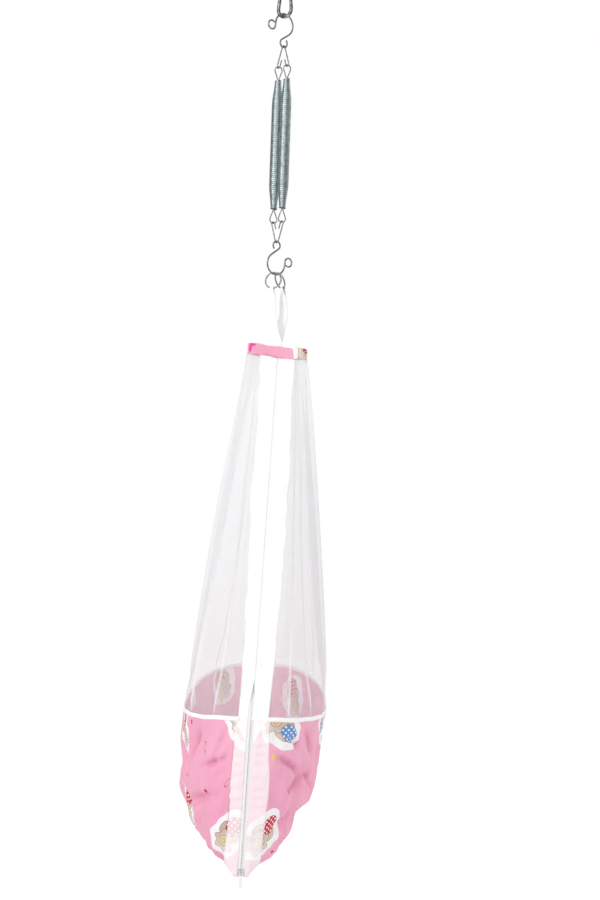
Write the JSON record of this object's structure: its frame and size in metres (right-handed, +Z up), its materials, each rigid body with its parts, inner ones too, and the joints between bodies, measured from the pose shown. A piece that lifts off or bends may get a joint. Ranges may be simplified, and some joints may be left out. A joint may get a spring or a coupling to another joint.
{
  "type": "hanging baby cradle",
  "caption": "Net sling cradle with a zipped front, hung from a snap hook by a pair of extension springs, wire hooks and rings.",
  "frame": {"origin": "crown inside the snap hook, where the cradle hangs", "axes": "+Z up along the hanging line, -Y towards the zip end of the sling, +X to the right seen from the zip end"},
  "size_m": [0.3086, 0.7427, 1.9074],
  "materials": {
    "polished_steel": "polished, a little worn",
    "zinc_wire": "zinc plated",
    "zinc_spring": "zinc plated, blue-grey",
    "printed_cotton": "woven cotton with a small print",
    "white_cotton": "woven cotton",
    "net": "sheer warp knit netting",
    "nylon": "white nylon"
  },
  "bodies": {
    "snap_hook": {"snap_hook_body": "polished_steel", "gate_pin": "polished_steel"},
    "gate": {"snap_hook_gate": "polished_steel"},
    "top_hook": {"top_s_hook": "zinc_wire"},
    "upper_spreader": {"upper_spreader": "zinc_wire"},
    "spring_pair": {"upper_eye_left": "zinc_wire", "upper_eye_right": "zinc_wire", "spring_left": "zinc_spring", "spring_right": "zinc_spring"},
    "lower_eyes": {"lower_eye_left": "zinc_wire", "lower_eye_right": "zinc_wire"},
    "lower_spreader": {"lower_spreader": "zinc_wire"},
    "lower_hook": {"lower_s_hook": "zinc_wire"},
    "ring_front": {"ring_front": "zinc_wire"},
    "ring_back": {"ring_back": "zinc_wire"},
    "sling": {"strap_front": "white_cotton", "strap_back": "white_cotton", "neck_band": "printed_cotton", "zip_top_stop": "zinc_wire", "zip_bottom_stop": "zinc_wire", "net_left": "net", "net_right": "net", "rim_binding_left": "white_cotton", "rim_binding_right": "white_cotton", "bag_left": "printed_cotton", "bag_right": "printed_cotton", "zip_facing_left": "white_cotton", "zip_facing_right": "white_cotton", "zip_tape_left": "white_cotton", "zip_tape_right": "white_cotton", "zip_coil_left": "nylon", "zip_coil_right": "nylon"},
    "zip_slider": {"zip_slider": "zinc_wire"},
    "zip_pull": {"zip_pull": "nylon"}
  },
  "joints": [
    {"name": "gate_hinge", "type": "hinge", "parent": "snap_hook", "child": "gate", "pos_m": [0.01055, -0.00561, -0.01131], "axis": [0.4695, 0.8829, 0], "range_deg": [0, 26], "stiffness_Nm_per_rad": 0.05, "springref_deg": -34.38},
    {"name": "top_hook_swing", "type": "hinge", "parent": "snap_hook", "child": "top_hook", "pos_m": [0, 0, -0.068], "axis": [0.8829, -0.4695, 0], "range_deg": [-25, 25]},
    {"name": "upper_spreader_swing", "type": "hinge", "parent": "top_hook", "child": "upper_spreader", "pos_m": [0, 0, -0.13571], "axis": [0.7771, 0.6293, 0], "range_deg": [-25, 25]},
    {"name": "spring_pair_swing", "type": "hinge", "parent": "upper_spreader", "child": "spring_pair", "pos_m": [0, 0, -0.17901], "axis": [0.7071, -0.7071, 0], "range_deg": [-15, 15]},
    {"name": "spring_stretch", "type": "slide", "parent": "spring_pair", "child": "lower_eyes", "axis": [0, 0, -1], "range_m": [0, 0.25], "stiffness_N_per_m": 400, "springref_m": -0.12, "deforming": ["spring_left", "spring_right"]},
    {"name": "lower_spreader_swing", "type": "hinge", "parent": "lower_eyes", "child": "lower_spreader", "pos_m": [0, 0, -0.5186], "axis": [0.7071, -0.7071, 0], "range_deg": [-15, 15]},
    {"name": "lower_hook_swing", "type": "hinge", "parent": "lower_spreader", "child": "lower_hook", "pos_m": [0, 0, -0.5656], "axis": [0.7071, -0.7071, 0], "range_deg": [-25, 25]},
    {"name": "ring_front_swing", "type": "hinge", "parent": "lower_hook", "child": "ring_front", "pos_m": [0, 0, -0.63581], "axis": [0.7771, 0.6293, 0], "range_deg": [-20, 20]},
    {"name": "ring_back_swing", "type": "hinge", "parent": "lower_hook", "child": "ring_back", "pos_m": [0, 0, -0.63581], "axis": [0.7771, 0.6293, 0], "range_deg": [-20, 20]},
    {"name": "sling_swing", "type": "hinge", "parent": "ring_front", "child": "sling", "pos_m": [0.00506, 0.00014, -0.66554], "axis": [0.7409, 0.6671, 0.0775], "range_deg": [-8, 8]},
    {"name": "zip_slide", "type": "slide", "parent": "sling", "child": "zip_slider", "axis": [0.0358, -0.2086, 0.9773], "range_m": [0, 0.305]},
    {"name": "zip_pull_swing", "type": "hinge", "parent": "zip_slider", "child": "zip_pull", "pos_m": [-0.0217, -0.30586, -1.86867], "axis": [-1, 0, 0], "range_deg": [-10, 95]}
  ],
  "couplings": [
    {"joint": "ring_back_swing", "follows": "ring_front_swing", "ratio": 1}
  ]
}
